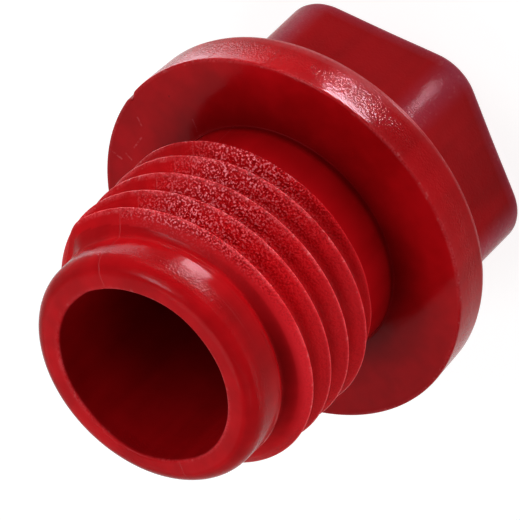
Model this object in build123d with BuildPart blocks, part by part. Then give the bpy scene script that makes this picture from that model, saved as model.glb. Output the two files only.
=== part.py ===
from build123d import *
import os
from math import ceil, radians, tan

# Oil filler plug, moulded in one piece, standing on its head: the axis is Z, the nose points up,
# the head's outer face is at height 0 and a corner of the hexagon points along +X.
# All lengths are in millimetres and all angles in degrees.

# Hexagonal head
head_across_flats = 14.2
head_height = 5.8
head_corner_radius = 2.4
head_edge_radius = 0.4
head_root_chamfer = 0.3
gate_recess_radius = 1.5
gate_recess_floor_radius = 1.0
gate_recess_depth = 0.25

# Flange, whose upper side is the sealing face
flange_diameter = 19.0
flange_thickness = 2.45
flange_front_chamfer = 0.12
flange_back_chamfer = 0.3

# Plain neck between the sealing face and the thread
neck_diameter = 12.0
neck_length = 2.4
neck_root_chamfer = 0.25

# Right-hand thread, M14 x 1.5, with the slightly small crest of a moulded thread
thread_pitch = 1.5
thread_crest_diameter = 13.8
thread_root_diameter = 12.16
thread_crest_width = 0.12
thread_flank_angle = 30.0
thread_length = 7.2
thread_phase = 0.38
thread_end_azimuth = 36.0
thread_neck_end_angle = 25.0
thread_nose_end_angle = 12.0

# Smooth nose that leads into the hole, with a shallow groove behind it
nose_diameter = 11.84
nose_length = 2.0
nose_tip_radius = 0.84
groove_diameter = 11.3
groove_width = 0.3
groove_side_angle = 30.0

# Blind bore from the nose end
bore_diameter = 9.0
bore_floor_thickness = 3.5
bore_floor_chamfer = 0.8
bore_mouth_chamfer = 0.15

# How far the ridge reaches into the core, and how far the trimming outline clears the crest
ridge_sink = 0.15
trim_clearance = 0.6

# Radii and heights that follow from the sizes above
neck_radius = neck_diameter / 2
crest_radius = thread_crest_diameter / 2
root_radius = thread_root_diameter / 2
trim_radius = crest_radius + trim_clearance
nose_radius = nose_diameter / 2
groove_radius = groove_diameter / 2
bore_radius = bore_diameter / 2
sealing_height = head_height + flange_thickness
thread_bottom = sealing_height + neck_length
thread_top = thread_bottom + thread_length
groove_top = thread_top - (nose_radius - groove_radius) * tan(radians(groove_side_angle))
groove_bottom = groove_top - groove_width
tip_height = thread_top + nose_length
bore_depth = tip_height - bore_floor_thickness

# Thread ridge: a narrow trapezium carried up a right-hand helix. It starts in the neck, where
# thread_phase is how far above the neck it first crosses +X, and its last turn stops short of
# the groove at thread_end_azimuth, counted from +X.
turns = ceil(thread_length / thread_pitch) + thread_end_azimuth / 360
helix_start = thread_bottom + thread_phase - thread_pitch
ridge_foot = root_radius - ridge_sink
flank_run = tan(radians(thread_flank_angle))
crest_half_width = thread_crest_width / 2
foot_half_width = crest_half_width + (crest_radius - ridge_foot) * flank_run

with BuildPart() as threaded_length:
    with BuildLine() as ridge_path:
        Helix(thread_pitch, turns * thread_pitch, root_radius, center=(0, 0, helix_start))
    ridge_plane = Plane(
        origin=ridge_path.line @ 0, x_dir=(1, 0, 0), z_dir=ridge_path.line % 0
    )
    with BuildSketch(ridge_plane) as ridge_section:
        with BuildLine():
            Polyline(
                (ridge_foot - root_radius, -foot_half_width),
                (crest_radius - root_radius, -crest_half_width),
                (crest_radius - root_radius, crest_half_width),
                (ridge_foot - root_radius, foot_half_width),
                close=True,
            )
        make_face()
    sweep(path=ridge_path.line, is_frenet=True)
    # The core that the ridge stands on, one pitch longer than the ridge at each end
    with BuildSketch(Plane.XY.offset(helix_start - thread_pitch)):
        Circle(root_radius)
    extrude(amount=(turns + 2) * thread_pitch)
    # Both ends of the thread are cut off along cones that run down to the neck and the groove
    neck_end_run = (trim_radius - neck_radius) * tan(radians(thread_neck_end_angle))
    nose_end_run = (trim_radius - groove_radius) * tan(radians(thread_nose_end_angle))
    with BuildSketch(Plane.XZ):
        with BuildLine():
            Polyline(
                (0, thread_bottom),
                (neck_radius, thread_bottom),
                (trim_radius, thread_bottom + neck_end_run),
                (trim_radius, groove_bottom - nose_end_run),
                (groove_radius, groove_bottom),
                (0, groove_bottom),
                close=True,
            )
        make_face()
    revolve(axis=Axis.Z, mode=Mode.INTERSECT)

with BuildPart() as oil_filler_plug:
    # Hexagonal head with rounded corners
    with BuildSketch() as head_outline:
        RegularPolygon(head_across_flats / 2, 6, major_radius=False)
        fillet(head_outline.vertices(), head_corner_radius)
    extrude(amount=head_height)
    fillet(faces().sort_by(Axis.Z)[0].edges(), head_edge_radius)
    # Shallow recess in the head's outer face, where the plastic was fed into the mould
    with Locations((0, 0, gate_recess_depth / 2)):
        Cone(
            gate_recess_radius, gate_recess_floor_radius, gate_recess_depth, mode=Mode.SUBTRACT
        )
    # Flange, with broken edges and a small bevel where the head meets it
    with BuildSketch(Plane.XY.offset(head_height)):
        Circle(flange_diameter / 2)
    extrude(amount=flange_thickness)
    flange_underside = edges().filter_by_position(Axis.Z, head_height, head_height)
    chamfer(flange_underside.sort_by(SortBy.LENGTH)[:-1], head_root_chamfer)
    flange_rim = edges().filter_by(GeomType.CIRCLE).group_by(SortBy.RADIUS)[-1]
    chamfer(flange_rim.sort_by(Axis.Z)[0], flange_back_chamfer)
    flange_rim = edges().filter_by(GeomType.CIRCLE).group_by(SortBy.RADIUS)[-1]
    chamfer(flange_rim.sort_by(Axis.Z)[-1], flange_front_chamfer)
    # Neck, with a small bevel where it meets the sealing face
    with BuildSketch(Plane.XY.offset(sealing_height)):
        Circle(neck_radius)
    extrude(amount=neck_length)
    sealing_face_rims = edges().filter_by_position(Axis.Z, sealing_height, sealing_height)
    chamfer(sealing_face_rims.sort_by(SortBy.RADIUS)[0], neck_root_chamfer)
    # Thread, then the groove and the nose with its rounded tip
    add(threaded_length.part)
    with BuildSketch(Plane.XZ) as nose_outline:
        with BuildLine():
            Polyline(
                (0, groove_bottom),
                (groove_radius, groove_bottom),
                (groove_radius, groove_top),
                (nose_radius, thread_top),
                (nose_radius, tip_height),
                (0, tip_height),
                close=True,
            )
        make_face()
        tip_corners = nose_outline.vertices().group_by(Axis.Y)[-1]
        fillet(tip_corners.sort_by(Axis.X)[-1], nose_tip_radius)
    revolve(axis=Axis.Z)
    # Blind bore with a bevelled floor
    with BuildSketch(Plane.XY.offset(tip_height)):
        Circle(bore_radius)
    extrude(amount=-bore_depth, mode=Mode.SUBTRACT)
    bore_rims = edges().filter_by(GeomType.CIRCLE).filter_by(
        lambda rim: abs(rim.radius - bore_radius) < 1e-4
    )
    chamfer(bore_rims.sort_by(Axis.Z)[0], bore_floor_chamfer)
    chamfer(bore_rims.sort_by(Axis.Z)[-1], bore_mouth_chamfer)

oil_filler_plug.part.label = "oil_filler_plug"
os.makedirs("parts", exist_ok=True)
export_step(oil_filler_plug.part, "parts/oil_filler_plug.step")
print("volume mm3", round(oil_filler_plug.part.volume, 2), "valid", oil_filler_plug.part.is_valid)
print("box", oil_filler_plug.part.bounding_box())
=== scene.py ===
import bpy
import numpy as np
from mathutils import Matrix, Vector


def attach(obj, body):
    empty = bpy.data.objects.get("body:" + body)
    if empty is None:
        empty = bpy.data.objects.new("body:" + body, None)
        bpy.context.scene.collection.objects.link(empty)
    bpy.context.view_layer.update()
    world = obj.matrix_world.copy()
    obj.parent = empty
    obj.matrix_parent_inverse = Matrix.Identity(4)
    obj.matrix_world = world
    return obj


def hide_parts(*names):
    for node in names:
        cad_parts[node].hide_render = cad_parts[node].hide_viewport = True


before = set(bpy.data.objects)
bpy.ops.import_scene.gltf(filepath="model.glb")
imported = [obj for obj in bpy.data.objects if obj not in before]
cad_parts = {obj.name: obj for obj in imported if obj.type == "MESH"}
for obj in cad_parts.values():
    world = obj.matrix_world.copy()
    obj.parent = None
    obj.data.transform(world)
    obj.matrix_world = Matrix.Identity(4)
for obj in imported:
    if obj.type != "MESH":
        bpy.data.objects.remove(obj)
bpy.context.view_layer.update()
nodeName = "oil_filler_plug"
millimetre = 0.001
fullTurn = 2 * np.pi
print("frame loaded:", sorted(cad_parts))

# Columns of the grid run round the axis and crowd together at the two parting lines.
grid = {"columns": 360, "crowding": 0.4, "roundSteps": 6}
turn = np.arange(grid["columns"]) / grid["columns"]
azimuth = fullTurn * turn - grid["crowding"] / 2 * np.sin(2 * fullTurn * turn)


def smoothMax(a, b, reach):
    # the larger of two values, with the corner between them rounded over the given reach
    return (a + b + np.sqrt((a - b) ** 2 + reach ** 2)) / 2


def smoothMin(a, b, reach):
    return -smoothMax(-a, -b, reach)


def smoothStep(value):
    share = np.clip(value, 0, 1)
    return share ** 2 * (3 - 2 * share)


def ringRow(radius, height):
    # one row of the grid, from a radius and a height that are single values or one per azimuth
    return np.stack([radius + 0 * azimuth, height + 0 * azimuth])


def roundedSteps(steps):
    # angles of a quarter turn, without the first one
    return np.linspace(0, np.pi / 2, steps + 1)[1:]


# Hexagonal head, standing on its outer face
head = {
    "halfFlats": 7.1, "height": 5.8, "cornerRadius": 2.4, "edgeRadius": 0.4, "rootRadius": 0.3,
    "faceSink": 0.02,
}
recess = {
    "radius": 1.5, "floorRadius": 1.0, "depth": 0.25, "rounding": 0.05,
    "rowRadii": (0.3, 0.7, 0.88, 0.96, 1.02, 1.1, 1.25, 1.4, 1.48, 1.53, 1.6, 1.75),
}


def hexagonRadius(outset):
    # distance to a hexagon with rounded corners: the flat over the cosine of the angle from its
    # middle, and past the flat's end the circle that rounds the corner
    fromFlat = np.abs(azimuth % (np.pi / 3) - np.pi / 6)
    fromCorner = np.pi / 6 - fromFlat
    flat = head["halfFlats"] + outset
    corner = head["cornerRadius"] + outset
    centre = (flat - corner) / np.cos(np.pi / 6)
    flatEnd = np.arctan((flat - corner) * np.tan(np.pi / 6) / flat)
    arc = centre * np.cos(fromCorner)
    arc = arc + np.sqrt(np.maximum(corner ** 2 - (centre * np.sin(fromCorner)) ** 2, 0))
    sink = head["faceSink"] * np.maximum(0, 1 - (fromFlat / flatEnd) ** 2) ** 2
    return np.where(fromFlat < flatEnd, flat / np.cos(fromFlat) - sink, arc)


def headRows():
    rows = []
    # recess where the plastic was fed in: a flat floor and a sloping side, both corners rounded
    slope = recess["depth"] / (recess["radius"] - recess["floorRadius"])
    for radius in recess["rowRadii"]:
        side = smoothMax((recess["radius"] - radius) * slope, 0, recess["rounding"])
        rows.append(ringRow(radius, smoothMin(side, recess["depth"], recess["rounding"])))
    edge = head["edgeRadius"]
    rim = hexagonRadius(-edge)
    start = recess["rowRadii"][-1]
    for share in (0.25, 0.55, 0.8, 0.93, 0.985, 1.0):
        rows.append(ringRow(start + (rim - start) * share, 0.0))
    for t in roundedSteps(grid["roundSteps"]):
        rows.append(ringRow(hexagonRadius(-edge * (1 - np.sin(t))), edge * (1 - np.cos(t))))
    root = head["rootRadius"]
    sideTop = head["height"] - root
    for share in (0.02, 0.1, 0.3, 0.5, 0.7, 0.9, 0.98, 1.0):
        rows.append(ringRow(hexagonRadius(0), edge + (sideTop - edge) * share))
    for t in roundedSteps(4):
        rows.append(ringRow(hexagonRadius(root * (1 - np.cos(t))), sideTop + root * np.sin(t)))
    return rows


# Flange: rounded back edge with the mould's parting line on it, sharp front edge
flange = {
    "radius": 9.5, "bottom": 5.8, "top": 8.25, "backRadius": 0.3, "step": 0.04,
    "stepHeight": 0.05, "frontRadius": 0.1, "draft": 0.1,
    "notch": {"azimuth": 34.3, "halfWidth": 2.2, "depth": 0.14, "reach": 0.45},
}


def flangeRows():
    rows = []
    inner = hexagonRadius(head["rootRadius"])
    back = flange["backRadius"]
    lineRadius = flange["radius"] - flange["draft"]
    edgeStart = lineRadius - flange["step"] - back
    for share in (0.06, 0.3, 0.6, 0.85, 0.96, 1.0):
        rows.append(ringRow(inner + (edgeStart - inner) * share, flange["bottom"]))
    for t in roundedSteps(grid["roundSteps"]):
        rows.append(ringRow(edgeStart + back * np.sin(t), flange["bottom"] + back * (1 - np.cos(t))))
    # the parting line: the front half of the mould is a little larger
    line = flange["bottom"] + back
    for share in (0.25, 0.5, 0.75, 1.0):
        rise = flange["step"] * (3 * share ** 2 - 2 * share ** 3)
        rows.append(ringRow(lineRadius - flange["step"] + rise, line + flange["stepHeight"] * share))
    front = flange["frontRadius"]
    low, high = line + flange["stepHeight"], flange["top"] - front
    for share in (0.03, 0.2, 0.5, 0.8, 0.97, 1.0):
        rows.append(ringRow(lineRadius + flange["draft"] * share, low + (high - low) * share))
    for t in roundedSteps(4):
        rows.append(ringRow(flange["radius"] - front * (1 - np.cos(t)), high + front * np.sin(t)))
    # a small nick in the front edge: the radius dips round one azimuth, near the top only
    notch = flange["notch"]
    away = np.abs((np.degrees(azimuth) - notch["azimuth"] + 180) % 360 - 180)
    dip = notch["depth"] * (1 - smoothStep(away / notch["halfWidth"]))
    for row in rows:
        byEdge = smoothStep(1 - (flange["top"] - row[1]) / notch["reach"])
        row[0] -= dip * byEdge
    return rows


# Neck between the sealing face and the thread
neck = {"radius": 6.0, "rootRadius": 0.04, "top": 10.65, "overlap": 0.06}


def neckRows():
    rows = []
    outer = flange["radius"] - flange["frontRadius"]
    root = neck["rootRadius"]
    inner = neck["radius"] + root
    for share in (0.03, 0.15, 0.4, 0.7, 0.9, 0.98, 1.0):
        rows.append(ringRow(outer + (inner - outer) * share, flange["top"]))
    for t in roundedSteps(5):
        rows.append(ringRow(inner - root * np.sin(t), flange["top"] + root * (1 - np.cos(t))))
    bottom = flange["top"] + root
    for share in (0.04, 0.3, 0.7, 1.0):
        rows.append(ringRow(neck["radius"], bottom + (threadZone["low"] - bottom) * share))
    return rows


# Right-hand thread; the rows of its grid follow the helix, so that each crest is one clean line
thread = {
    "pitch": 1.5, "crestRadius": 6.93, "rootRadius": 6.08, "crestHalfWidth": 0.05,
    "flankAngle": 30.0, "phase": 0.38, "crestRounding": 0.05, "rootRounding": 0.22,
    "neckEndAngle": 25.0, "endRounding": 0.07, "coreStart": 3, "coreReach": 2,
    "lean": 0.06, "leanAzimuth": 31.0, "lastTurns": 4.06, "lastFade": 0.07,
    "rowPlaces": (0.0, 0.04, 0.075, 0.12, 0.18, 0.25, 0.31, 0.355, 0.4, 0.44, 0.48, 0.52, 0.56,
                  0.6, 0.64, 0.69, 0.75, 0.82, 0.89, 0.96, 1.04, 1.15, 1.27, 1.36, 1.42, 1.46),
    "snap": 0.015,
}

# Groove behind the nose
groove = {
    "radius": 5.66, "bottom": 17.35, "top": 17.7, "drop": 0.4, "rounding": 0.16,
    "roundingFrom": 16.45, "shift": 0.3, "shiftReach": 95,
}
nose = {"radius": 5.92, "bottom": 17.85, "tip": 19.85, "tipRadius": 0.84}
threadZone = {"low": neck["top"] - neck["overlap"], "high": nose["bottom"]}


def grooveRadius(height, angle):
    # from the groove's floor up to the nose in one smooth step, a little lower on one side
    away = np.abs((np.degrees(angle) + 180) % 360 - 180) / groove["shiftReach"]
    shifted = height + groove["shift"] * (1 - smoothStep(away))
    rise = smoothStep((shifted - groove["bottom"]) / (groove["top"] - groove["bottom"]))
    return groove["radius"] + (nose["radius"] - groove["radius"]) * rise


def grooveFloor(height, angle):
    # the root of the thread drops to the groove's floor behind the last crest, and the line comes
    # back down over the side that has no last turn
    pitch = thread["pitch"]
    signed = (angle + np.pi) % fullTurn - np.pi
    firstCrest = neck["top"] + thread["phase"]
    turns = int(thread["lastTurns"])
    end = fullTurn * (thread["lastTurns"] + thread["lastFade"] - turns)
    along = firstCrest + pitch * (turns + signed / fullTurn)
    back = firstCrest + pitch * (turns + end / fullTurn) - (signed - end) / (np.pi - end) * (
        pitch * (end + np.pi) / fullTurn)
    line = np.where(signed < end, along, back)
    drop = smoothStep((height - line) / groove["drop"])
    return thread["rootRadius"] + (groove["radius"] - thread["rootRadius"]) * drop


def threadRadius(height, angle):
    # ridge: the crest, less the distance from its middle over the flank's tangent, and the root.
    # A cone cuts the end at the neck; the last turn only fades out and keeps its full flank, so
    # that it stands outside the CAD's ridge, which a second cone cuts off before the groove
    pitch = thread["pitch"]
    along = height - neck["top"] - thread["phase"] - pitch * angle / fullTurn
    fromCrest = np.abs((along + pitch / 2) % pitch - pitch / 2)
    turnsUp = np.round(along / pitch) + angle / fullTurn
    fade = 1 - smoothStep((turnsUp - thread["lastTurns"]) / thread["lastFade"])
    root = grooveFloor(height, angle)
    lean = thread["lean"] * np.cos(angle - np.radians(thread["leanAzimuth"]))
    crest = root + (thread["crestRadius"] + lean - root) * fade
    flank = crest - (fromCrest - thread["crestHalfWidth"]) / np.tan(np.radians(thread["flankAngle"]))
    ridge = smoothMin(crest, flank, thread["crestRounding"])
    ridge = smoothMax(ridge, root, thread["rootRounding"])
    neckEnd = neck["radius"] + (height - neck["top"]) / np.tan(np.radians(thread["neckEndAngle"]))
    body = smoothMin(ridge, neckEnd, thread["endRounding"])
    core = (height - neck["top"] - thread["coreStart"]) / thread["coreReach"]
    body = smoothMax(body, neck["radius"] - smoothStep(core), thread["endRounding"] / 2)
    rounding = groove["rounding"] * smoothStep(height - groove["roundingFrom"])
    return smoothMax(body, grooveRadius(height, angle), rounding)


def noseRows():
    rows = []
    for height in (nose["bottom"], 17.91, 18.0):
        rows.append(ringRow(grooveRadius(height, azimuth), height))
    tip = nose["tipRadius"]
    straightTop = nose["tip"] - tip
    for height in (18.2, 18.5, 18.8, straightTop):
        rows.append(ringRow(nose["radius"], height))
    for t in roundedSteps(10):
        rows.append(ringRow(nose["radius"] - tip * (1 - np.cos(t)), straightTop + tip * np.sin(t)))
    return rows


# Blind bore
bore = {
    "radius": 4.44, "floor": 3.5, "floorRadius": 0.8, "mouthRadius": 0.16, "draft": 0.04,
    "bulges": ((-50, 34, 0.1), (-84, 30, 0.05), (150, 42, 0.17), (200, 30, 0.05), (14, 10, 0.03)),
    "bulgeDepth": 1.3,
}


def mouthBulge():
    # the mouth is pressed outwards in a few places: smooth humps at an azimuth, with a half width
    total = 0 * azimuth
    for middle, halfWidth, height in bore["bulges"]:
        away = np.abs((np.degrees(azimuth) - middle + 180) % 360 - 180)
        total = total + height * (1 - smoothStep(away / halfWidth))
    return total


def boreRows():
    rows = []
    mouth = bore["mouthRadius"]
    outer = nose["radius"] - nose["tipRadius"]
    bulge = mouthBulge()
    inner = bore["radius"] + mouth + bulge
    for share in (0.3, 0.7, 0.94, 1.0):
        rows.append(ringRow(outer + (inner - outer) * share, nose["tip"]))
    for t in roundedSteps(5):
        rows.append(ringRow(inner - mouth * np.sin(t), nose["tip"] - mouth * (1 - np.cos(t))))
    top = nose["tip"] - mouth
    bottom = bore["floor"] + bore["floorRadius"]
    for share in (0.01, 0.025, 0.045, 0.07, 0.1, 0.25, 0.45, 0.65, 0.85, 1.0):
        fade = 1 - smoothStep((top - bottom) * share / bore["bulgeDepth"])
        wall = bore["radius"] - bore["draft"] * share + bulge * fade
        rows.append(ringRow(wall, top + (bottom - top) * share))
    wall = bore["radius"] - bore["draft"]
    corner = bore["floorRadius"]
    for t in roundedSteps(5):
        rows.append(ringRow(wall - corner * (1 - np.cos(t)), bottom - corner * np.sin(t)))
    for share in (0.6, 0.25):
        rows.append(ringRow((wall - corner) * share, bore["floor"]))
    return rows


def helixRows():
    # heights of the helical rows before they are cut off at the two ends of the thread
    pitch = thread["pitch"]
    places = np.array(thread["rowPlaces"])
    firstCrest = neck["top"] + thread["phase"]
    firstTurn = np.floor((threadZone["low"] - firstCrest) / pitch) - 2
    lastTurn = np.ceil((threadZone["high"] - firstCrest) / pitch) + 1
    starts = firstCrest + pitch * np.arange(firstTurn, lastTurn + 1)
    return (starts[:, None] + places[None, :]).ravel(), len(places)


def buildPlug():
    # one closed surface: rings from the head's outer face up to the neck, helical rows along the
    # thread, rings again over the nose and down the bore
    lower = np.stack(headRows() + flangeRows() + neckRows(), 1)
    upper = np.stack(noseRows() + boreRows(), 1)
    columns = grid["columns"]
    starts, perTurn = helixRows()
    heights = starts[:, None] + thread["pitch"] * azimuth[None, :] / fullTurn
    isLow = heights <= threadZone["low"] + thread["snap"]
    isHigh = heights >= threadZone["high"] - thread["snap"]
    inside = ~isLow & ~isHigh
    radii = threadRadius(heights, azimuth[None, :])

    lowerIds = np.arange(lower.shape[1] * columns).reshape(lower.shape[1], columns)
    helixIds = np.full(heights.shape, -1)
    helixIds[inside] = lowerIds.size + np.arange(inside.sum())
    upperIds = lowerIds.size + inside.sum() + np.arange(upper.shape[1] * columns)
    upperIds = upperIds.reshape(upper.shape[1], columns)
    helixIds = np.where(isLow, lowerIds[-1][None, :], helixIds)
    helixIds = np.where(isHigh, upperIds[0][None, :], helixIds)

    lowerWrapped = np.concatenate([lowerIds, lowerIds[:, :1]], 1)
    upperWrapped = np.concatenate([upperIds, upperIds[:, :1]], 1)
    # at the end of a turn a helical row goes on as the row one pitch further up
    nextTurn = np.full(len(starts), upperIds[0, 0])
    nextTurn[:-perTurn] = helixIds[perTurn:, 0]
    helixWrapped = np.concatenate([helixIds, nextTurn[:, None]], 1)

    quads = []
    for ids in (lowerWrapped, helixWrapped, upperWrapped):
        corners = (ids[:-1, :-1], ids[:-1, 1:], ids[1:, 1:], ids[1:, :-1])
        quads.append(np.stack(corners, -1).reshape(-1, 4))
    quads = np.concatenate(quads)
    # a quad with one pair of equal corners is a triangle, and with more it is nothing
    same = quads == np.roll(quads, -1, 1)
    whole = quads[~same.any(1)]
    folded = same.sum(1) == 1
    triangles = quads[folded][~same[folded]].reshape(-1, 3)

    radius = np.concatenate([lower[0].ravel(), radii[inside], upper[0].ravel()])
    height = np.concatenate([lower[1].ravel(), heights[inside], upper[1].ravel()])
    angle = np.concatenate([
        np.tile(azimuth, lower.shape[1]),
        np.broadcast_to(azimuth, heights.shape)[inside],
        np.tile(azimuth, upper.shape[1])])
    points = np.stack([radius * np.cos(angle), radius * np.sin(angle), height], 1)
    poles = np.array([[0, 0, recess["depth"]], [0, 0, bore["floor"]]])
    headPole, borePole = len(points), len(points) + 1
    points = np.concatenate([points, poles])
    ring = lowerWrapped[0]
    fans = [np.stack([np.full(columns, headPole), ring[1:], ring[:-1]], 1)]
    ring = upperWrapped[-1]
    fans.append(np.stack([np.full(columns, borePole), ring[:-1], ring[1:]], 1))
    triangles = np.concatenate([triangles] + fans)
    return points, whole, triangles


def addMesh(name, points, quads, triangles):
    mesh = bpy.data.meshes.new(name)
    mesh.from_pydata((points * millimetre).tolist(), [], quads.tolist() + triangles.tolist())
    mesh.validate()
    mesh.update()
    piece = bpy.data.objects.new(name, mesh)
    bpy.context.scene.collection.objects.link(piece)
    mesh.polygons.foreach_set("use_smooth", np.ones(len(mesh.polygons), bool))
    return piece


def addAttribute(piece, name, values):
    attribute = piece.data.attributes.new(name, "FLOAT", "POINT")
    attribute.data.foreach_set("value", np.asarray(values, np.float32))


points, quads, triangles = buildPlug()
plug = addMesh("plug_moulding", points, quads, triangles)
print("plug surface:", len(points), "points,", 2 * len(quads) + len(triangles), "triangles")


def near(value, middle, reach):
    # 1 at the middle, falling smoothly to 0 at the given distance from it
    return 1 - smoothStep(np.abs(value - middle) / reach)


# A pair is the middle and the reach of a smooth hump: in degrees of azimuth where the name ends in
# Side, and else in millimetres. Single lengths are millimetres, the rest are shares.
pebbles = {
    "halvesBlend": 0.03, "noseFlank": (0.4, 0.65), "otherHalf": 0.12, "everywhere": 0.55,
    "endStart": 0.15, "endReach": 0.2, "endLoss": 0.92, "strongSide": (-35, 62), "farSide": 0.16,
    "shineSide": (-27, 50), "innerShineSide": (-22, 25), "shineFlank": (0.3, 0.6), "shineLow": 0.25,
}
edges = {
    "cornerReach": 0.16, "cornerShare": 0.8, "cornerRadius": 6.9, "headRim": (0.15, 0.6),
    "headRimFade": 0.06, "headRimRadius": 6.4, "share": 0.75, "front": (0.06, 0.14),
    "backInset": 0.18, "backHeight": 5.9, "back": (0.06, 0.2), "mouthOutset": 0.06,
    "mouth": (0, 0.2), "crestBelow": 0.11, "crestReach": 0.1, "rimBelow": 0.16, "rim": (7.2, 1.15),
    "nose": (19.0, 1.0), "rootRing": (0.04, 0.12), "matteLine": (9.3, 5.95), "matte": (0.05, 0.3),
    "matteShare": 1.5, "matteSide": (-58, 16), "paleLine": (9.32, 6.0), "pale": (0.1, 0.3),
    "paleSide": (-28, 60),
}
# Light and dark painted into the colour. It copies the light of the photographed view, so it is
# tied to the azimuth and stays on the plug from every side.
shading = {
    "boreDeep": 0.5, "boreReach": 9.0, "boreMouth": (18.6, 3), "boreLight": 0.2,
    "rootReach": 0.6, "rootDark": 0.92, "valleyDark": 0.26, "valleySide": (-80, 100),
    "shadeSide": (-105, 75), "behindNose": (17.3, 0.6), "behindNoseRadius": 6.35,
    "behindNoseDark": 0.42, "flankLight": 0.2, "threadDark": 0.13, "threadDarkSide": (8, 32),
    "noseEnd": (18.3, 1.0), "noseEndSide": (-80, 45), "noseEndRadius": 5.3, "noseEndDark": 0.24,
    "outerRadius": 8.2, "outerReach": 0.8, "outer": (7.6, 1.9), "outerSide": (-15, 55),
    "outerLight": 0.27, "sealDark": 0.6, "sealReach": 2.1, "sealRise": 2.6, "headRoot": 0.75,
    "headReach": 1.2, "headRadius": 8.4, "threadLight": 1.4, "noseDark": 0.72,
    "noseBand": (18.6, 1.0), "ringLight": 1.35, "ringReach": 0.12,
}


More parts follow.
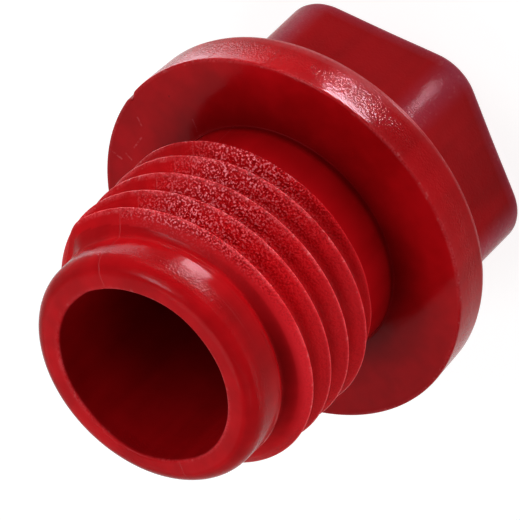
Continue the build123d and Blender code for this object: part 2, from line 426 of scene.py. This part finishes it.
def surfaceMasks(points):
    radius = np.hypot(points[:, 0], points[:, 1])
    angle = np.arctan2(points[:, 1], points[:, 0])
    degrees = np.degrees(angle)
    height = points[:, 2]
    inBore = (radius < bore["radius"] + 0.3) & (height > bore["floor"] - 0.01) & (
        height < nose["tip"] - 0.03)
    onThread = (height > neck["top"] + 0.1) & (height < groove["bottom"] + 0.1) & ~inBore
    onRim = (radius > flange["radius"] - edges["rimBelow"]) * near(height, *edges["rim"])
    onSeal = (np.abs(height - flange["top"]) < 0.02) & (radius > neck["radius"])
    onHead = (height < head["height"] - 0.01) & (radius < 9)
    onNose = near(height, *edges["nose"]) * (radius > bore["radius"] + 0.1)

    # the half of the thread that one mould half left rough, on the flank towards the nose
    pitch = thread["pitch"]
    turned = (angle % fullTurn) / fullTurn
    along = (height - neck["top"] - thread["phase"] - pitch * (angle % fullTurn) / fullTurn) % pitch
    roughHalf = 1 / (1 + np.exp(np.clip(np.sin(angle) / pebbles["halvesBlend"], -30, 30)))
    noseFlank = onThread * near(along, *pebbles["noseFlank"])
    byHalf = pebbles["otherHalf"] + (1 - pebbles["otherHalf"]) * roughHalf
    grain = noseFlank * byHalf + pebbles["everywhere"] * onThread * roughHalf
    # past the last crest only a narrow band beside it is rough
    firstCrest = neck["top"] + thread["phase"]
    pastLast = height - firstCrest - pitch * (int(thread["lastTurns"]) - 1 + turned)
    smoothEnd = onThread * smoothStep((pastLast - pebbles["endStart"]) / pebbles["endReach"])
    grain = np.clip(grain, 0, 1) * (1 - pebbles["endLoss"] * smoothEnd)
    # the roughness is strongest on one side and dies away round the plug
    grain = grain * (
        pebbles["farSide"] + (1 - pebbles["farSide"]) * near(degrees, *pebbles["strongSide"]))
    # painted highlight: the grain's tops are coloured light around one azimuth and on part of the flank,
    # where glints would be
    shine = 0.5 * near(degrees, *pebbles["shineSide"]) + 0.5 * near(
        degrees, *pebbles["innerShineSide"])
    flankShine = near(along, *pebbles["shineFlank"])
    paintedGlint = grain * shine * (pebbles["shineLow"] + (1 - pebbles["shineLow"]) * flankShine)

    # edges: the head's outer rim and corners, the flange's front and back, the mouth of the bore
    corner = angle % (np.pi / 3)
    side = near(corner, 0, edges["cornerReach"]) + near(corner, np.pi / 3, edges["cornerReach"])
    rimOfHead = near(height, *edges["headRim"]) * smoothStep(height / edges["headRimFade"]) * (
        radius > edges["headRimRadius"])
    edge = np.clip(
        rimOfHead + edges["cornerShare"] * side * (radius > edges["cornerRadius"]) * onHead, 0, 1)
    fromFront = np.hypot(radius - flange["radius"], height - flange["top"])
    edge = edge + near(fromFront, *edges["front"])
    fromBack = np.hypot(radius - flange["radius"] + edges["backInset"], height - edges["backHeight"])
    edge = edges["share"] * edge + near(fromBack, *edges["back"])
    fromMouth = np.hypot(radius - bore["radius"] - edges["mouthOutset"], height - nose["tip"])
    edge = edge + near(fromMouth, *edges["mouth"])
    crest = smoothStep(
        (radius - thread["crestRadius"] + edges["crestBelow"]) / edges["crestReach"]) * onThread

    # painted light and shade, one factor after the other
    dark = 1 - (1 - shading["boreDeep"]) * inBore * smoothStep(
        (nose["tip"] - height) / shading["boreReach"])
    root = onThread * (1 - smoothStep((radius - thread["rootRadius"]) / shading["rootReach"]))
    shadeSide = near(degrees, *shading["shadeSide"])
    valleySide = near(degrees, *shading["valleySide"])
    dark = dark * (1 - (1 - shading["rootDark"] + shading["valleyDark"] * valleySide) * root)
    behindNose = near(height, *shading["behindNose"]) * (
        radius < shading["behindNoseRadius"]) * onThread
    dark = dark * (1 - shading["behindNoseDark"] * shadeSide * behindNose)
    dark = dark * (
        1 + shading["flankLight"] * shadeSide * onThread * (1 - root) * (1 - behindNose))
    dark = dark * (
        1 - shading["threadDark"] * onThread * near(degrees, *shading["threadDarkSide"]))
    noseEnd = near(degrees, *shading["noseEndSide"]) * near(height, *shading["noseEnd"]) * (
        radius > shading["noseEndRadius"])
    dark = dark * (1 - shading["noseEndDark"] * noseEnd * ~inBore)
    outer = smoothStep((radius - shading["outerRadius"]) / shading["outerReach"])
    outer = outer * near(height, *shading["outer"]) * near(degrees, *shading["outerSide"])
    dark = dark * (1 + shading["outerLight"] * outer)
    dark = dark * (1 + shading["boreLight"] * inBore * near(height, *shading["boreMouth"]))
    byNeck = 1 - smoothStep((radius - neck["radius"]) / shading["sealReach"])
    low = near(height, flange["top"], shading["sealRise"]) * (radius > neck["radius"] - 0.05) * (
        height > flange["top"] - 0.02)
    dark = dark * (1 - (1 - shading["sealDark"]) * byNeck * low * ~inBore)
    underFlange = near(height, head["height"], shading["headReach"]) * (
        radius < shading["headRadius"]) * (height < head["height"] + 0.02)
    dark = dark * (1 - (1 - shading["headRoot"]) * underFlange * ~inBore)
    dark = dark * (1 + (shading["threadLight"] - 1) * onThread)
    dark = dark * (1 - (1 - shading["noseDark"]) * near(height, *shading["noseBand"]) * onNose)
    ring = near(height, nose["tip"], shading["ringReach"]) * (radius > bore["radius"])
    dark = dark * (1 + (shading["ringLight"] - 1) * ring)

    ringLift, ringReach = edges["rootRing"]
    rootRing = near(height, flange["top"] + ringLift, ringReach) * (radius < neck["radius"] + 0.1)
    lineRadius, lineHeight = edges["matteLine"]
    backEdge = near(np.hypot(radius - lineRadius, height - lineHeight), *edges["matte"])
    # painted highlight: a pale line along the flange's back edge, on one side only
    lineRadius, lineHeight = edges["paleLine"]
    paintedBackHighlight = near(np.hypot(radius - lineRadius, height - lineHeight), *edges["pale"]) * near(
        degrees, *edges["paleSide"])
    matte = np.clip(smoothEnd + rootRing + edges["matteShare"] * backEdge * near(
        degrees, *edges["matteSide"]), 0, 1)
    # painted light: the thread's flanks on one side, away from the roots, are coloured lighter as if lit
    flank = onThread * (1 - root) * (1 - behindNose) * shadeSide
    return {
        "grain": grain, "paintedGlint": paintedGlint, "matte": matte, "crest": crest, "flank": flank,
        "paintedBackHighlight": paintedBackHighlight, "rim": onRim, "seal": onSeal, "head": onHead,
        "edge": np.clip(edge, 0, 1), "shade": dark, "bore": inBore, "nose": onNose,
    }


for maskName, values in surfaceMasks(points).items():
    addAttribute(plug, maskName, values)

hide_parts(nodeName)
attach(plug, "root")


# Shader groups. Each takes a place in millimetres and puts out masks or heights from 0 to 1.
def newGroup(name, inputs, outputs):
    group = bpy.data.node_groups.new(name, "ShaderNodeTree")
    for label, kind, value in inputs:
        socket = group.interface.new_socket(label, in_out="INPUT", socket_type="NodeSocket" + kind)
        socket.default_value = value
    for label in outputs:
        group.interface.new_socket(label, in_out="OUTPUT", socket_type="NodeSocketFloat")
    start = group.nodes.new("NodeGroupInput")
    end = group.nodes.new("NodeGroupOutput")
    return group, start.outputs, end.inputs


def feed(tree, socket, value):
    # a socket takes another socket's link or a plain value
    if isinstance(value, bpy.types.NodeSocket):
        tree.links.new(value, socket)
    elif value is not None:
        socket.default_value = value


def calc(tree, operation, *values, clamp=False):
    node = tree.nodes.new("ShaderNodeMath")
    node.operation = operation
    node.use_clamp = clamp
    for socket, value in zip(node.inputs, values):
        feed(tree, socket, value)
    return node.outputs[0]


def vector(tree, operation, *values, out="Vector"):
    node = tree.nodes.new("ShaderNodeVectorMath")
    node.operation = operation
    for socket, value in zip(node.inputs, values):
        feed(tree, socket, value)
    return node.outputs[out]


def stretch(tree, place, factors):
    return vector(tree, "MULTIPLY", place, factors)


def noise(tree, place, scale, detail=2.0, rough=0.5):
    node = tree.nodes.new("ShaderNodeTexNoise")
    feed(tree, node.inputs["Vector"], place)
    feed(tree, node.inputs["Scale"], scale)
    node.inputs["Detail"].default_value = detail
    node.inputs["Roughness"].default_value = rough
    return node.outputs["Fac"]


def cells(tree, place, scale, out="Distance", feature="F1"):
    node = tree.nodes.new("ShaderNodeTexVoronoi")
    node.feature = feature
    feed(tree, node.inputs["Vector"], place)
    feed(tree, node.inputs["Scale"], scale)
    return node.outputs[out]


def ramp(tree, value, low, high):
    # smooth step from 0 at low to 1 at high
    node = tree.nodes.new("ShaderNodeMapRange")
    node.interpolation_type = "SMOOTHSTEP"
    feed(tree, node.inputs["Value"], value)
    feed(tree, node.inputs["From Min"], low)
    feed(tree, node.inputs["From Max"], high)
    return node.outputs["Result"]


def sparkGrainGroup():
    # pebbled skin that a spark-eroded mould leaves: rounded cells and fine noise of one size,
    # the bright tops, the dark pits between them, and broad patches where it is stronger
    group, start, end = newGroup(
        "sparkGrain", (("Place", "Vector", (0, 0, 0)), ("Grain Size", "Float", 0.12)),
        ("Height", "Top", "Pit"))
    scale = calc(group, "DIVIDE", 1.0, start["Grain Size"])
    fine = noise(group, start["Place"], calc(group, "MULTIPLY", scale, 1.05), 1.0, 0.5)
    cell = cells(group, start["Place"], calc(group, "MULTIPLY", scale, 0.85))
    broad = noise(group, start["Place"], calc(group, "MULTIPLY", scale, 0.12), 2.0, 0.5)
    height = calc(group, "SUBTRACT", fine, calc(group, "MULTIPLY", cell, 0.35))
    group.links.new(height, end["Height"])
    patches = calc(group, "MULTIPLY_ADD", ramp(group, broad, 0.35, 0.62), 0.4, 0.6)
    group.links.new(calc(group, "MULTIPLY", ramp(group, height, 0.33, 0.52), patches), end["Top"])
    pits = calc(group, "SUBTRACT", 1.0, ramp(group, height, 0.18, 0.32))
    group.links.new(calc(group, "MULTIPLY", pits, patches), end["Pit"])
    return group


def edgeWearGroup():
    # an edge rubbed lighter in uneven lengths, with small bright nicks; the lighter edge is also painted
    # highlight
    group, start, end = newGroup(
        "edgeWearAndHighlight", (("Place", "Vector", (0, 0, 0)), ("Edge", "Float", 0.0),
                     ("Length", "Float", 1.2), ("Nicks", "Float", 0.3)),
        ("Wear", "Nick"))
    lengths = noise(group, start["Place"], calc(group, "DIVIDE", 1.0, start["Length"]), 3.0, 0.6)
    fine = noise(group, start["Place"], 9.0, 2.0, 0.6)
    uneven = calc(group, "MULTIPLY", ramp(group, lengths, 0.3, 0.68), ramp(group, fine, 0.28, 0.6))
    group.links.new(calc(group, "MULTIPLY", uneven, start["Edge"]), end["Wear"])
    spot = noise(group, start["Place"], 3.6, 1.0, 0.5)
    nick = calc(group, "MULTIPLY", ramp(group, spot, 0.64, 0.7), start["Edge"])
    group.links.new(calc(group, "MULTIPLY", nick, start["Nicks"]), end["Nick"])
    return group


def specksGroup():
    # separate dots: the cells whose random value is high enough, round their middle
    group, start, end = newGroup(
        "specks", (("Place", "Vector", (0, 0, 0)), ("Spacing", "Float", 0.6),
                   ("Radius", "Float", 0.05), ("Share", "Float", 0.2)),
        ("Speck",))
    scale = calc(group, "DIVIDE", 1.0, start["Spacing"])
    node = group.nodes.new("ShaderNodeTexVoronoi")
    group.links.new(start["Place"], node.inputs["Vector"])
    group.links.new(scale, node.inputs["Scale"])
    away = calc(group, "MULTIPLY", node.outputs["Distance"], start["Spacing"])
    parts = group.nodes.new("ShaderNodeSeparateColor")
    group.links.new(node.outputs["Color"], parts.inputs[0])
    size = calc(group, "MULTIPLY", start["Radius"],
                calc(group, "MULTIPLY_ADD", parts.outputs[1], 0.9, 0.4))
    dot = calc(group, "SUBTRACT", 1.0, ramp(group, away, calc(group, "MULTIPLY", size, 0.5), size))
    chosen = calc(group, "LESS_THAN", parts.outputs[0], start["Share"])
    group.links.new(calc(group, "MULTIPLY", dot, chosen), end["Speck"])
    return group


def strokeGroup():
    # one scratch: the distance to the line between two points, against its width, broken up
    group, start, end = newGroup(
        "stroke", (("Place", "Vector", (0, 0, 0)), ("From", "Vector", (0, 0, 0)),
                   ("To", "Vector", (1, 0, 0)), ("Width", "Float", 0.05),
                   ("Wobble", "Float", 0.5)),
        ("Stroke",))
    run = vector(group, "SUBTRACT", start["To"], start["From"])
    away = vector(group, "SUBTRACT", start["Place"], start["From"])
    share = calc(group, "DIVIDE", vector(group, "DOT_PRODUCT", away, run, out="Value"),
                 vector(group, "DOT_PRODUCT", run, run, out="Value"), clamp=True)
    foot = group.nodes.new("ShaderNodeVectorMath")
    foot.operation = "SCALE"
    group.links.new(run, foot.inputs[0])
    group.links.new(share, foot.inputs["Scale"])
    distance = vector(group, "LENGTH", vector(group, "SUBTRACT", away, foot.outputs[0]), out="Value")
    wobble = start["Wobble"]
    width = calc(group, "MULTIPLY", start["Width"], calc(group, "MULTIPLY_ADD", wobble, 1.4, 0.3))
    line = calc(group, "SUBTRACT", 1.0, ramp(group, distance, calc(group, "MULTIPLY", width, 0.3), width))
    group.links.new(calc(group, "MULTIPLY", line, ramp(group, wobble, 0.35, 0.6)), end["Stroke"])
    return group


def hairScratchGroup():
    # fine scratches that run round the axis: noise stretched along the angle, in two layers
    group, start, end = newGroup(
        "hairScratches", (("Place", "Vector", (0, 0, 0)), ("Reach", "Float", 6.0)), ("Scratch",))
    parts = group.nodes.new("ShaderNodeSeparateXYZ")
    group.links.new(start["Place"], parts.inputs[0])
    angle = calc(group, "ARCTAN2", parts.outputs[1], parts.outputs[0])
    flat = calc(group, "SQRT", calc(group, "ADD", calc(group, "POWER", parts.outputs[0], 2.0),
                                    calc(group, "POWER", parts.outputs[1], 2.0)))
    total = None
    for tilt, strength, low in ((0.15, 1.0, 0.66), (-0.5, 0.7, 0.69)):
        across = calc(group, "MULTIPLY_ADD", angle, tilt, parts.outputs[2])
        join = group.nodes.new("ShaderNodeCombineXYZ")
        group.links.new(calc(group, "MULTIPLY", angle, calc(group, "MULTIPLY", start["Reach"], 0.22)),
                        join.inputs[0])
        group.links.new(calc(group, "MULTIPLY", across, 14.0), join.inputs[1])
        group.links.new(calc(group, "MULTIPLY", flat, 3.0), join.inputs[2])
        fibres = noise(group, join.outputs[0], 1.0, 1.0, 0.5)
        line = calc(group, "MULTIPLY", ramp(group, fibres, low, low + 0.06), strength)
        total = line if total is None else calc(group, "MAXIMUM", total, line)
    group.links.new(total, end["Scratch"])
    return group


def colourDriftGroup():
    # slow unevenness of the colour, with faint flow marks drawn out along the axis
    group, start, end = newGroup(
        "colourDrift", (("Place", "Vector", (0, 0, 0)), ("Size", "Float", 5.0)), ("Drift",))
    cloud = noise(group, start["Place"], calc(group, "DIVIDE", 1.0, start["Size"]), 3.0, 0.55)
    flow = noise(group, stretch(group, start["Place"], (0.9, 0.9, 0.12)), 1.0, 2.0, 0.5)
    group.links.new(calc(group, "ADD", calc(group, "MULTIPLY", cloud, 0.65),
                         calc(group, "MULTIPLY", flow, 0.35)), end["Drift"])
    return group


# Several colours here are painted light: a lit flank, glints on the grain, shade in its pits, a
# reflection on the head's edges, and highlights mixed into the edge wear.
plastic = {
    "deep": (0.39, 0.0022, 0.0045), "bright": (0.56, 0.0045, 0.0085), "pitShade": (0.2, 0.0, 0.001),
    "grainGlint": (1.0, 0.37, 0.44), "wearAndHighlight": (0.85, 0.12, 0.14), "scratch": (0.75, 0.2, 0.22),
    "lint": (0.85, 0.45, 0.45), "headEdgeReflection": (0.52, 0.11, 0.19), "flank": (0.58, 0.016, 0.024),
    "dust": (0.12, 0.002, 0.003), "roughness": 0.17, "specularLevel": 0.032, "grainSize": 0.105,
    "grainDepth": 0.085, "skinGrain": 0.3, "rippleDepth": 0.02, "partingWidth": 0.045,
    "amounts": {
        "flank": 0.9, "pitShade": 0.85, "grainGlint": 0.9, "crestWearAndHighlight": 0.45, "edgeWearAndHighlight": 0.4,
        "parting": 0.12, "paintedBackHighlight": 0.7, "headEdgeReflection": 0.6, "strokes": 0.26, "hair": 0.1,
        "crestNick": 0.22, "lint": 0.45, "fine": 0.12, "edgeNick": 0.3, "dust": 0.5,
    },
    "scratches": (
        {"from": (6.46, 2.26, 8.25), "to": (5.83, 2.26, 8.25), "width": 0.05},
        {"from": (5.83, 2.26, 8.25), "to": (5.4, 2.16, 8.25), "width": 0.08},
        {"from": (6.73, 5.43, 8.25), "to": (6.3, 5.39, 8.25), "width": 0.06},
        {"from": (5.18, 6.35, 8.25), "to": (5.68, 5.68, 8.25), "width": 0.06},
        {"from": (5.03, 7.75, 8.25), "to": (4.64, 7.39, 8.25), "width": 0.07},
        {"from": (5.0, 7.04, 8.25), "to": (4.56, 6.82, 8.25), "width": 0.06},
        {"from": (5.55, -1.2, 17.9), "to": (5.3, -2.45, 18.1), "width": 0.04},
        {"from": (5.78, -1.28, 18.5), "to": (5.4, -2.4, 18.75), "width": 0.035},
        {"from": (2.9, -5.05, 19.3), "to": (1.1, -5.7, 19.25), "width": 0.035},
        {"from": (2.6, -5.2, 19.1), "to": (1.5, -5.62, 19.05), "width": 0.03},
    ),
}


def redPlastic():
    material = bpy.data.materials.new("red_plastic_moulded")
    material.use_nodes = True
    tree = material.node_tree
    surface = tree.nodes["Principled BSDF"]
    nodes, links = tree.nodes, tree.links
    origin = nodes.new("ShaderNodeTexCoord").outputs["Object"]
    place = stretch(tree, origin, (1 / millimetre,) * 3)

    def mask(name):
        node = nodes.new("ShaderNodeAttribute")
        node.attribute_name = name
        return node.outputs["Fac"]

    def group(made, **values):
        node = nodes.new("ShaderNodeGroup")
        node.node_tree = made
        feed(tree, node.inputs["Place"], place)
        for label, value in values.items():
            feed(tree, node.inputs[label.replace("_", " ")], value)
        return node.outputs

    def blend(under, over, share, how="MIX"):
        node = nodes.new("ShaderNodeMix")
        node.data_type = "RGBA"
        node.blend_type = how
        feed(tree, node.inputs["Factor"], share)
        for socket, value in ((node.inputs["A"], under), (node.inputs["B"], over)):
            feed(tree, socket, value if isinstance(value, bpy.types.NodeSocket) else (*value, 1))
        return node.outputs["Result"]

    def times(*values):
        total = values[0]
        for value in values[1:]:
            total = calc(tree, "MULTIPLY", total, value)
        return total

    def most(*values):
        total = values[0]
        for value in values[1:]:
            total = calc(tree, "MAXIMUM", total, value)
        return total

    grainMask, crest, edge, seal = mask("grain"), mask("crest"), mask("edge"), mask("seal")
    rim, headSide, shade, inBore = mask("rim"), mask("head"), mask("shade"), mask("bore")
    onNose, paintedGlint, matte = mask("nose"), mask("paintedGlint"), mask("matte")
    drift = group(colourDriftGroup())["Drift"]
    spark = group(sparkGrainGroup(), Grain_Size=plastic["grainSize"])
    wearGroup, specks = edgeWearGroup(), specksGroup()
    crestWearAndHighlight = group(wearGroup, Edge=crest, Length=1.0, Nicks=0.7)
    edgeWearAndHighlight = group(wearGroup, Edge=edge, Length=2.2, Nicks=0.4)
    lint = group(specks, Spacing=2.1, Radius=0.045, Share=0.1)["Speck"]
    fine = group(specks, Spacing=0.45, Radius=0.03, Share=0.3)["Speck"]
    dots = group(specks, Spacing=1.1, Radius=0.07, Share=0.08)["Speck"]
    hair = times(group(hairScratchGroup())["Scratch"], onNose)
    strokes = None
    wobble = noise(tree, place, 6.0, 2.0, 0.6)
    for scratch in plastic["scratches"]:
        line = group(strokeNodes, From=scratch["from"], To=scratch["to"], Width=scratch["width"],
                     Wobble=wobble)["Stroke"]
        strokes = line if strokes is None else most(strokes, line)
    # the mould's parting line, where the two halves met on either side
    axes = nodes.new("ShaderNodeSeparateXYZ")
    links.new(place, axes.inputs[0])
    aside = calc(tree, "ABSOLUTE", axes.outputs[1])
    parting = calc(tree, "SUBTRACT", 1.0, ramp(tree, aside, 0.0, plastic["partingWidth"]))
    parting = times(parting, calc(tree, "SUBTRACT", 1.0, most(headSide, seal, inBore)))

    amount = plastic["amounts"]
    colour = blend(plastic["deep"], plastic["bright"], ramp(tree, drift, 0.32, 0.68))
    # painted light on the thread's flanks on one side
    colour = blend(colour, plastic["flank"], times(mask("flank"), amount["flank"]))
    # painted shade in the grain's pits
    colour = blend(colour, plastic["pitShade"], times(spark["Pit"], grainMask, amount["pitShade"]))
    # painted highlight on the grain's tops
    colour = blend(colour, plastic["grainGlint"], times(spark["Top"], paintedGlint, amount["grainGlint"]))
    # the lighter colour on crests and edges is wear and also painted highlight; the parting line is
    # lighter too
    colour = blend(colour, plastic["wearAndHighlight"], most(
        times(crestWearAndHighlight["Wear"], amount["crestWearAndHighlight"]), times(edgeWearAndHighlight["Wear"], amount["edgeWearAndHighlight"]),
        times(parting, amount["parting"])))
    # painted highlight along the flange's back edge, in the scratch colour
    unevenLine = calc(tree, "MULTIPLY_ADD", wobble, 0.9, 0.05)
    colour = blend(colour, plastic["scratch"], times(
        mask("paintedBackHighlight"), unevenLine, amount["paintedBackHighlight"]))
    # painted reflection: a violet tint on the head's outer edges and corners
    colour = blend(colour, plastic["headEdgeReflection"], times(edge, headSide, amount["headEdgeReflection"]))
    colour = blend(colour, plastic["scratch"], most(
        times(strokes, amount["strokes"]), times(hair, amount["hair"])))
    colour = blend(colour, plastic["lint"], most(
        times(crestWearAndHighlight["Nick"], amount["crestNick"]), times(lint, amount["lint"]),
        times(fine, most(rim, headSide), amount["fine"]),
        times(edgeWearAndHighlight["Nick"], amount["edgeNick"])))
    colour = blend(colour, plastic["dust"], times(dots, seal, amount["dust"]))
    # painted light and shade: the shade mask multiplies the colour
    shadeColour = nodes.new("ShaderNodeCombineColor")
    for socket in shadeColour.inputs[:3]:
        links.new(shade, socket)
    colour = blend(colour, shadeColour.outputs[0], 1.0, how="MULTIPLY")
    links.new(colour, surface.inputs["Base Color"])

    rough = calc(tree, "MULTIPLY_ADD", drift, 0.12, plastic["roughness"] - 0.06)
    rough = calc(tree, "ADD", rough, times(grainMask, 0.02))
    rough = calc(tree, "ADD", rough, times(inBore, 0.2))
    rough = calc(tree, "ADD", rough, times(matte, 0.35))
    rough = calc(tree, "ADD", rough, times(most(hair, strokes), 0.12), clamp=True)
    links.new(rough, surface.inputs["Roughness"])

    # bumps: the grain, strongest on the thread, then slow ripples and the scratches
    skin = most(rim, times(headSide, 0.35), times(onNose, 0.8), times(edge, headSide, 1.6))
    grainBump = nodes.new("ShaderNodeBump")
    grainBump.inputs["Distance"].default_value = plastic["grainDepth"] * millimetre
    grainHeight = times(spark["Height"], most(grainMask, times(skin, plastic["skinGrain"])))
    links.new(grainHeight, grainBump.inputs["Height"])
    rippleBump = nodes.new("ShaderNodeBump")
    rippleBump.inputs["Distance"].default_value = plastic["rippleDepth"] * millimetre
    ripple = calc(tree, "ADD", noise(tree, place, 1.1, 2.0, 0.5), times(parting, 0.6))
    links.new(ripple, rippleBump.inputs["Height"])
    links.new(grainBump.outputs["Normal"], rippleBump.inputs["Normal"])
    links.new(rippleBump.outputs["Normal"], surface.inputs["Normal"])

    surface.inputs["IOR"].default_value = 1.5
    surface.inputs["Specular IOR Level"].default_value = plastic["specularLevel"]
    print("material:", len(nodes), "nodes")
    return material


strokeNodes = strokeGroup()
plug.data.materials.append(redPlastic())

# Camera, fitted to the photograph's view
camera = {
    "place": (0.1219404, -0.2026862, 0.2214535), "focal": 484.6, "sensor": 36.0,
    "right": (-0.3529076, -0.7687017, -0.533436), "up": (0.8530749, -0.0301561, -0.5209164),
    "back": (0.384343, -0.6388962, 0.6664024),
}


def addCamera():
    data = bpy.data.cameras.new("camera")
    data.lens = camera["focal"]
    data.sensor_width = camera["sensor"]
    data.clip_start, data.clip_end = 0.01, 20
    eye = bpy.data.objects.new("camera", data)
    turned = Matrix((camera["right"], camera["up"], camera["back"])).transposed()
    eye.matrix_world = Matrix.Translation(camera["place"]) @ turned.to_4x4()
    bpy.context.scene.collection.objects.link(eye)
    bpy.context.scene.camera = eye


addCamera()

# Floor, world and lamps. Everything that the camera, a reflection or a clear material sees behind
# the plug is white; as a source of light the floor is a little darker, and the world dim. The
# lamps that only gloss sees were placed and fitted for the photographed view.
studio = {
    "floorSize": 3.0, "floorDrop": 0.00001, "floorColour": 0.3, "seenFloor": 0.9,
    "floorLight": 0.5, "worldLight": 0.12, "lampLift": 0.0005, "glossColour": (0.95, 0.89, 1.0),
}
lamps = (
    {"name": "key", "azimuth": 5, "elevation": 58, "distance": 0.4, "size": 0.2, "power": 0.37},
    {"name": "over", "azimuth": 130, "elevation": 70, "distance": 0.4, "size": 0.2, "power": 0.36},
    {"name": "side", "azimuth": -141, "elevation": 45, "distance": 0.4, "size": 0.2, "power": 0.07},
    {"name": "lowFront", "azimuth": -20, "distance": 0.12, "size": 0.12, "power": 0.34},
    {"name": "lowMiddle", "azimuth": -75, "distance": 0.12, "size": 0.1, "power": 0.05},
    {"name": "lowLeft", "azimuth": -125, "distance": 0.12, "size": 0.12, "power": 0.13},
    {"name": "noseGlint", "azimuth": -28.7, "distance": 0.0258, "size": 0.011, "width": 0.0042,
     "turned": 71, "power": 0.01473, "glossOnly": True},
    {"name": "rimGlint", "azimuth": -38, "distance": 0.0168, "size": 0.0062, "width": 0.0026,
     "turned": 56, "power": 0.00806, "glossOnly": True},
    {"name": "cornerGlint", "azimuth": -56, "distance": 0.0108, "size": 0.003, "width": 0.0012,
     "turned": -56, "power": 0.000434, "glossOnly": True},
    {"name": "softPanel", "azimuth": 42, "distance": 0.0245, "size": 0.0235, "width": 0.006,
     "turned": 132, "power": 0.00341, "glossOnly": True},
    {"name": "rimBand", "azimuth": 30, "distance": 0.0152, "size": 0.016, "width": 0.003,
     "turned": 120, "power": 0.001085, "glossOnly": True},
    {"name": "sparkle", "azimuth": 22, "elevation": 65, "distance": 0.3, "size": 0.075,
     "power": 0.62, "glossOnly": True},
    {"name": "backPanel", "azimuth": 115, "elevation": 42, "distance": 0.5, "size": 0.3,
     "power": 0.25, "glossOnly": True},
)


def seenDirectly(tree):
    # 1 for rays from the camera, from a reflection or through a clear material, and else 0
    rays = tree.nodes.new("ShaderNodeLightPath")
    total = rays.outputs["Is Camera Ray"]
    for name in ("Is Glossy Ray", "Is Transmission Ray"):
        either = tree.nodes.new("ShaderNodeMath")
        either.operation = "MAXIMUM"
        tree.links.new(total, either.inputs[0])
        tree.links.new(rays.outputs[name], either.inputs[1])
        total = either.outputs[0]
    return total


def strengthByRay(tree, seen, light):
    blend = tree.nodes.new("ShaderNodeMapRange")
    blend.inputs["To Min"].default_value = light
    blend.inputs["To Max"].default_value = seen
    tree.links.new(seenDirectly(tree), blend.inputs["Value"])
    return blend.outputs["Result"]


def addFloor():
    half = studio["floorSize"] / 2
    low = -studio["floorDrop"]
    corners = [(-half, -half, low), (half, -half, low), (half, half, low), (-half, half, low)]
    mesh = bpy.data.meshes.new("floor")
    mesh.from_pydata(corners, [], [(0, 1, 2, 3)])
    floor = bpy.data.objects.new("floor", mesh)
    bpy.context.scene.collection.objects.link(floor)
    material = bpy.data.materials.new("pale_floor")
    material.use_nodes = True
    tree = material.node_tree
    surface = tree.nodes["Principled BSDF"]
    surface.inputs["Base Color"].default_value = (*[studio["floorColour"]] * 3, 1)
    surface.inputs["Roughness"].default_value = 1.0
    surface.inputs["Specular IOR Level"].default_value = 0.0
    surface.inputs["Emission Color"].default_value = (1, 1, 1, 1)
    strength = strengthByRay(tree, studio["seenFloor"], studio["floorLight"])
    tree.links.new(strength, surface.inputs["Emission Strength"])
    mesh.materials.append(material)


def addWorld():
    world = bpy.data.worlds.new("studio_world")
    world.use_nodes = True
    tree = world.node_tree
    background = tree.nodes["Background"]
    background.inputs["Color"].default_value = (1, 1, 1, 1)
    tree.links.new(strengthByRay(tree, 1.0, studio["worldLight"]), background.inputs["Strength"])
    bpy.context.scene.world = world


def addLamp(lamp):
    # a lamp with an elevation hangs round the plug and faces it; the others lie on the floor and
    # face upwards
    data = bpy.data.lights.new(lamp["name"], "AREA")
    data.shape = "RECTANGLE" if "width" in lamp else "DISK"
    data.size = lamp["size"]
    data.size_y = lamp.get("width", lamp["size"])
    data.energy = lamp["power"]
    if lamp.get("glossOnly"):
        data.color = studio["glossColour"]
    item = bpy.data.objects.new(lamp["name"], data)
    a, e = np.radians(lamp["azimuth"]), np.radians(lamp.get("elevation", 0))
    towards = Vector((np.cos(a) * np.cos(e), np.sin(a) * np.cos(e), np.sin(e)))
    item.location = towards * lamp["distance"] + Vector((0, 0, studio["lampLift"]))
    item.rotation_mode = "QUATERNION"
    if "elevation" in lamp:
        item.rotation_quaternion = towards.to_track_quat("Z", "Y")
    else:
        faceUp = Matrix.Rotation(np.pi, 4, "X")
        turned = Matrix.Rotation(np.radians(lamp.get("turned", 0)), 4, "Z")
        item.rotation_quaternion = (turned @ faceUp).to_quaternion()
    item.visible_camera = False
    item.visible_diffuse = not lamp.get("glossOnly", False)
    bpy.context.scene.collection.objects.link(item)


addFloor()
addWorld()
for lamp in lamps:
    addLamp(lamp)
bpy.context.scene.view_settings.view_transform = "Standard"
print("stage:", len(lamps), "lamps")
